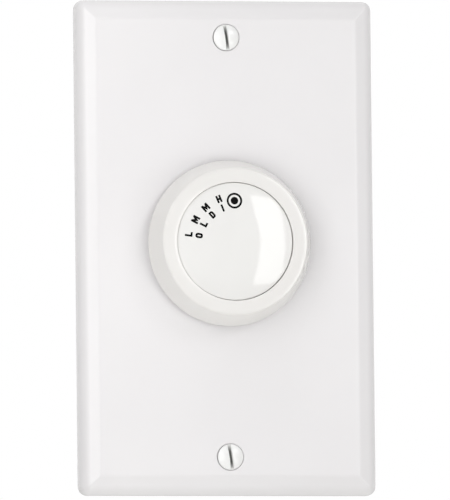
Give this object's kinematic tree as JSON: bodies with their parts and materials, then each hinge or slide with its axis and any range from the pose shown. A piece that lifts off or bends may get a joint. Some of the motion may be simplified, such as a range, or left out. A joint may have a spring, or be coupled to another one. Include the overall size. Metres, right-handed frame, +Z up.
{
  "type": "fan speed control switch",
  "caption": "Wall control for a ceiling fan: a white bevelled cover plate with oval-head screws and a tapered rotary knob that clicks from off through its speeds, with the switch case behind.",
  "frame": {"origin": "middle of the wall plate, on the wall's surface", "axes": "+Z up, +Y into the wall, so the plate and knob face -Y, and +X to the right seen from the front"},
  "size_m": [0.0698, 0.0468, 0.1142],
  "materials": {
    "plate_plastic": "smooth white moulded plastic, semi-gloss",
    "knob_plastic": "smooth white moulded plastic, semi-gloss",
    "cap_plastic": "polished white plastic with black printed marks",
    "white_enamel": "glossy white enamel on steel",
    "zinc_steel": "bright zinc plate, slightly brushed",
    "spring_steel": "blued spring steel, satin",
    "brass": "turned and stamped brass, satin",
    "green_enamel": "green dyed zinc",
    "case_plastic": "black moulded plastic, fine matt texture",
    "cover_plastic": "dark grey moulded plastic, matt",
    "nylon": "natural nylon, matt",
    "board_laminate": "brown paper laminate, satin",
    "capacitor_resin": "yellow film-capacitor box, smooth",
    "resistor_lacquer": "tan lacquer, satin",
    "red_fibre": "vulcanised fibre, matt"
  },
  "bodies": {
    "base": {"wall_plate": "plate_plastic", "plate_screws": "white_enamel", "bushing": "brass", "bushing_nut": "zinc_steel", "lock_washer": "zinc_steel", "mounting_strap": "zinc_steel", "box_screws": "zinc_steel", "screw_retainers": "red_fibre", "ground_screw": "green_enamel", "rear_housing": "case_plastic", "front_cover": "cover_plastic", "detent_spring": "spring_steel", "fixed_contacts": "brass", "contact_board": "board_laminate", "capacitor_large": "capacitor_resin", "capacitor_small": "capacitor_resin", "bleed_resistors": "resistor_lacquer", "line_terminal": "brass", "load_terminal": "brass", "terminal_screws": "brass"},
    "knob": {"knob_body": "knob_plastic", "knob_cap": "cap_plastic", "knob_grip_spring": "spring_steel", "shaft": "brass", "retaining_ring": "spring_steel", "detent_wheel": "zinc_steel", "contact_rotor": "nylon", "rotor_contact": "brass"}
  },
  "joints": [
    {"name": "knob_turn", "type": "hinge", "parent": "base", "child": "knob", "pos_m": [0, 0, 0.0008], "axis": [0, 1, 0], "range_deg": [0, 80], "deforming": ["detent_spring"]}
  ]
}
